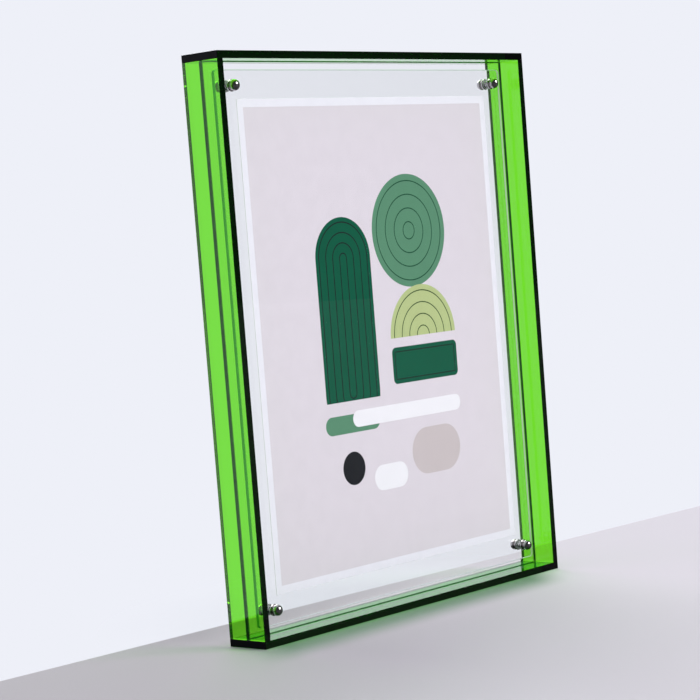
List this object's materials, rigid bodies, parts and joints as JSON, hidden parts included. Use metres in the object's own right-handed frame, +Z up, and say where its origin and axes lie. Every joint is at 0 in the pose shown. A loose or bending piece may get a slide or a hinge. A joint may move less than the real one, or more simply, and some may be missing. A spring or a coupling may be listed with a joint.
{
  "type": "acrylic photo frame",
  "caption": "Free-standing box frame of tinted acrylic strips around a clear back panel, with a clear front cover clamped over the print by domed screws and nuts.",
  "frame": {"origin": "middle of the footprint, on the surface the bottom strip stands on", "axes": "+X to the right seen from the front, +Y from the front rim to the back rim, +Z up"},
  "size_m": [0.25, 0.025, 0.3],
  "materials": {
    "tinted_acrylic": "clear green cast acrylic, polished faces and edges",
    "clear_acrylic": "clear cast acrylic, polished",
    "soft_plastic": "soft clear plastic, slightly cloudy",
    "polished_metal": "bright chrome plate over turned metal",
    "photo_paper": "heavy photo paper, semi-gloss, white border"
  },
  "bodies": {
    "frame": {"top_strip": "tinted_acrylic", "bottom_strip": "tinted_acrylic", "left_strip": "tinted_acrylic", "right_strip": "tinted_acrylic", "back_panel": "clear_acrylic", "upper_left_screw": "polished_metal", "upper_left_rear_washer": "soft_plastic", "upper_right_screw": "polished_metal", "upper_right_rear_washer": "soft_plastic", "lower_left_screw": "polished_metal", "lower_left_rear_washer": "soft_plastic", "lower_right_screw": "polished_metal", "lower_right_rear_washer": "soft_plastic"},
    "print": {"photo_print": "photo_paper"},
    "cover": {"front_cover": "clear_acrylic"},
    "upper_left_washer": {"upper_left_front_washer": "soft_plastic"},
    "upper_left_nut": {"upper_left_nut": "polished_metal"},
    "upper_right_washer": {"upper_right_front_washer": "soft_plastic"},
    "upper_right_nut": {"upper_right_nut": "polished_metal"},
    "lower_left_washer": {"lower_left_front_washer": "soft_plastic"},
    "lower_left_nut": {"lower_left_nut": "polished_metal"},
    "lower_right_washer": {"lower_right_front_washer": "soft_plastic"},
    "lower_right_nut": {"lower_right_nut": "polished_metal"}
  },
  "joints": [
    {"name": "cover_lift", "type": "slide", "parent": "frame", "child": "cover", "axis": [0, -1, 0], "range_m": [0, 0.04]},
    {"name": "print_lift", "type": "slide", "parent": "frame", "child": "print", "axis": [0, -1, 0], "range_m": [0, 0.02]},
    {"name": "upper_left_washer_travel", "type": "slide", "parent": "cover", "child": "upper_left_washer", "axis": [0, -1, 0], "range_m": [0, 0.004]},
    {"name": "upper_left_nut_turn", "type": "hinge", "parent": "upper_left_washer", "child": "upper_left_nut", "pos_m": [-0.1065, -0.00235, 0.2835], "axis": [0, -1, 0], "range_deg": [0, 2880]},
    {"name": "upper_right_washer_travel", "type": "slide", "parent": "cover", "child": "upper_right_washer", "axis": [0, -1, 0], "range_m": [0, 0.004]},
    {"name": "upper_right_nut_turn", "type": "hinge", "parent": "upper_right_washer", "child": "upper_right_nut", "pos_m": [0.1065, -0.00235, 0.2835], "axis": [0, -1, 0], "range_deg": [0, 2880]},
    {"name": "lower_left_washer_travel", "type": "slide", "parent": "cover", "child": "lower_left_washer", "axis": [0, -1, 0], "range_m": [0, 0.004]},
    {"name": "lower_left_nut_turn", "type": "hinge", "parent": "lower_left_washer", "child": "lower_left_nut", "pos_m": [-0.1065, -0.00235, 0.0165], "axis": [0, -1, 0], "range_deg": [0, 2880]},
    {"name": "lower_right_washer_travel", "type": "slide", "parent": "cover", "child": "lower_right_washer", "axis": [0, -1, 0], "range_m": [0, 0.004]},
    {"name": "lower_right_nut_turn", "type": "hinge", "parent": "lower_right_washer", "child": "lower_right_nut", "pos_m": [0.1065, -0.00235, 0.0165], "axis": [0, -1, 0], "range_deg": [0, 2880]}
  ],
  "couplings": [
    {"joint": "print_lift", "follows": "cover_lift", "ratio": 0.5},
    {"joint": "upper_left_nut_turn", "follows": "upper_left_washer_travel", "rad_per_m": 12566},
    {"joint": "upper_right_nut_turn", "follows": "upper_right_washer_travel", "rad_per_m": 12566},
    {"joint": "lower_left_nut_turn", "follows": "lower_left_washer_travel", "rad_per_m": 12566},
    {"joint": "lower_right_nut_turn", "follows": "lower_right_washer_travel", "rad_per_m": 12566}
  ]
}
